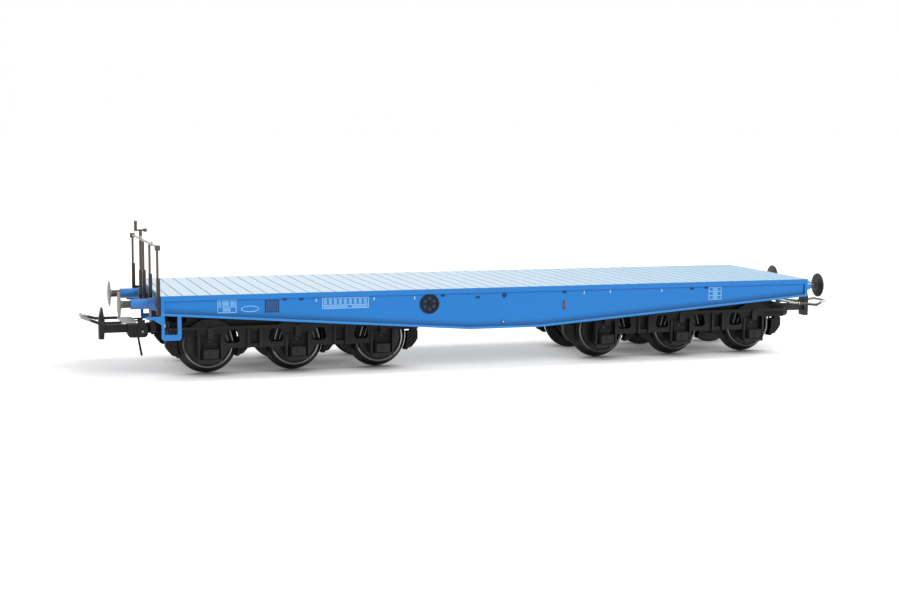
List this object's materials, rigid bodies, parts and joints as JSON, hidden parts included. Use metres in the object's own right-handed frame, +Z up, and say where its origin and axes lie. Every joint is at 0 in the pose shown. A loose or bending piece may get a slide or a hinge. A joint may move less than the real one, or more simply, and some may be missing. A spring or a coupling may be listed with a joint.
{
  "type": "model railway heavy flat wagon",
  "caption": "Scale-model heavy flat wagon with fish-belly side sills, a plank deck, an end railing, three-axle bogies, buffers and loop couplers.",
  "frame": {"origin": "middle of the wagon, on the floor below the wheel flanges", "axes": "+X to the plain end, +Y to the left side, +Z up; the handbrake end is at -X"},
  "size_m": [0.1653, 0.0358, 0.0294],
  "materials": {
    "blue_paint": "satin sky blue",
    "black_plastic": "matt black",
    "dark_metal": "dark burnished",
    "wheel_metal": "burnished",
    "loop_metal": "black oxide"
  },
  "bodies": {
    "wagon": {"deck": "blue_paint", "side_sill_left": "blue_paint", "side_sill_right": "blue_paint", "headstock_plain": "blue_paint", "headstock_brake": "blue_paint", "centre_sills": "black_plastic", "bolsters": "black_plastic", "cross_bearers": "black_plastic", "buffer_housings": "blue_paint", "buffer_heads": "dark_metal", "railing": "dark_metal", "handbrake_crank": "dark_metal", "steps": "blue_paint", "handwheels": "black_plastic", "coupler_pockets": "black_plastic"},
    "bogie_a": {"bogie_a_frame": "black_plastic", "bogie_a_sides": "black_plastic", "bogie_a_boxes": "black_plastic", "bogie_a_shoes": "black_plastic"},
    "bogie_b": {"bogie_b_frame": "black_plastic", "bogie_b_sides": "black_plastic", "bogie_b_boxes": "black_plastic", "bogie_b_shoes": "black_plastic"},
    "wheelset_1": {"wheels_1": "wheel_metal", "axle_1": "dark_metal"},
    "wheelset_2": {"wheels_2": "wheel_metal", "axle_2": "dark_metal"},
    "wheelset_3": {"wheels_3": "wheel_metal", "axle_3": "dark_metal"},
    "wheelset_4": {"wheels_4": "wheel_metal", "axle_4": "dark_metal"},
    "wheelset_5": {"wheels_5": "wheel_metal", "axle_5": "dark_metal"},
    "wheelset_6": {"wheels_6": "wheel_metal", "axle_6": "dark_metal"},
    "coupler_a": {"coupler_a": "black_plastic"},
    "loop_a": {"loop_a": "loop_metal"},
    "coupler_b": {"coupler_b": "black_plastic"},
    "loop_b": {"loop_b": "loop_metal"}
  },
  "joints": [
    {"name": "bogie_a_pivot", "type": "hinge", "parent": "wagon", "child": "bogie_a", "pos_m": [-0.04155, 0, 0.0129], "axis": [0, 0, 1], "range_deg": [-6, 6]},
    {"name": "bogie_b_pivot", "type": "hinge", "parent": "wagon", "child": "bogie_b", "pos_m": [0.04155, 0, 0.0129], "axis": [0, 0, 1], "range_deg": [-6, 6]},
    {"name": "wheelset_1_spin", "type": "hinge", "parent": "bogie_a", "child": "wheelset_1", "pos_m": [-0.0588, 0, 0.0062], "axis": [0, 1, 0], "continuous": true},
    {"name": "wheelset_2_spin", "type": "hinge", "parent": "bogie_a", "child": "wheelset_2", "pos_m": [-0.04155, 0, 0.0062], "axis": [0, 1, 0], "continuous": true},
    {"name": "wheelset_3_spin", "type": "hinge", "parent": "bogie_a", "child": "wheelset_3", "pos_m": [-0.0243, 0, 0.0062], "axis": [0, 1, 0], "continuous": true},
    {"name": "wheelset_4_spin", "type": "hinge", "parent": "bogie_b", "child": "wheelset_4", "pos_m": [0.0243, 0, 0.0062], "axis": [0, 1, 0], "continuous": true},
    {"name": "wheelset_5_spin", "type": "hinge", "parent": "bogie_b", "child": "wheelset_5", "pos_m": [0.04155, 0, 0.0062], "axis": [0, 1, 0], "continuous": true},
    {"name": "wheelset_6_spin", "type": "hinge", "parent": "bogie_b", "child": "wheelset_6", "pos_m": [0.0588, 0, 0.0062], "axis": [0, 1, 0], "continuous": true},
    {"name": "coupler_a_swing", "type": "hinge", "parent": "wagon", "child": "coupler_a", "pos_m": [-0.068, 0, 0.0083], "axis": [0, 0, 1], "range_deg": [-12, 12]},
    {"name": "loop_a_lift", "type": "hinge", "parent": "coupler_a", "child": "loop_a", "pos_m": [-0.07055, 0, 0.0081], "axis": [0, 1, 0], "range_deg": [-6, 9]},
    {"name": "coupler_b_swing", "type": "hinge", "parent": "wagon", "child": "coupler_b", "pos_m": [0.068, 0, 0.0083], "axis": [0, 0, 1], "range_deg": [-12, 12]},
    {"name": "loop_b_lift", "type": "hinge", "parent": "coupler_b", "child": "loop_b", "pos_m": [0.07055, 0, 0.0081], "axis": [0, -1, 0], "range_deg": [0, 15]}
  ]
}
